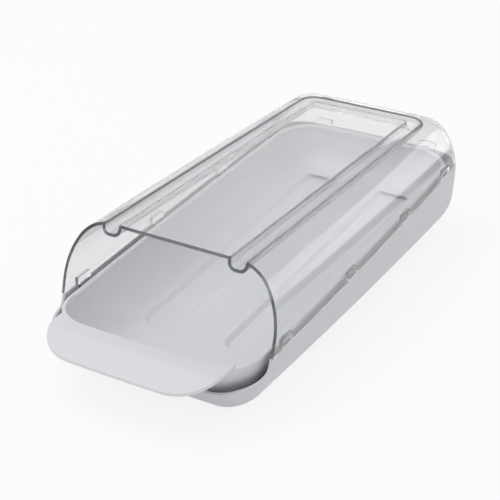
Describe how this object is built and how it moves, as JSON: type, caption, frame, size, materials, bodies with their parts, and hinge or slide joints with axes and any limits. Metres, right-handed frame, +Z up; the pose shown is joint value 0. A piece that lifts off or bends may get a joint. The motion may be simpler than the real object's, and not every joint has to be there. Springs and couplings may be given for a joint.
{
  "type": "rolling egg dispenser",
  "caption": "Fridge egg dispenser: an open tub, a sloping tray with a handle lip, and a clear open-fronted lid with a stacking groove.",
  "frame": {"origin": "middle of the overall length and width, on the plane of the pads", "axes": "+Z up, +X across the tub to the right as seen from the handle, +Y from the handle to the rear"},
  "size_m": [0.1522, 0.3623, 0.0881],
  "materials": {
    "tub_plastic": "pale grey injection-moulded plastic with a fine satin texture",
    "tray_plastic": "pale grey injection-moulded plastic, smoother than the tub",
    "clear_plastic": "polished clear plastic, faintly grey at the cut edges",
    "foot_rubber": "soft grey non-slip rubber"
  },
  "bodies": {
    "tub": {"base": "tub_plastic", "foot_front_left": "foot_rubber", "foot_front_right": "foot_rubber", "foot_back_left": "foot_rubber", "foot_back_right": "foot_rubber"},
    "egg_tray": {"tray": "tray_plastic"},
    "cover": {"lid": "clear_plastic"}
  },
  "joints": [
    {"name": "lid_lift", "type": "slide", "parent": "tub", "child": "cover", "axis": [0, 0, 1], "range_m": [0, 0.13]},
    {"name": "tray_lift", "type": "slide", "parent": "tub", "child": "egg_tray", "axis": [0, 0, 1], "range_m": [0, 0.06]}
  ],
  "couplings": [
    {"joint": "tray_lift", "follows": "lid_lift", "ratio": 0.45}
  ]
}
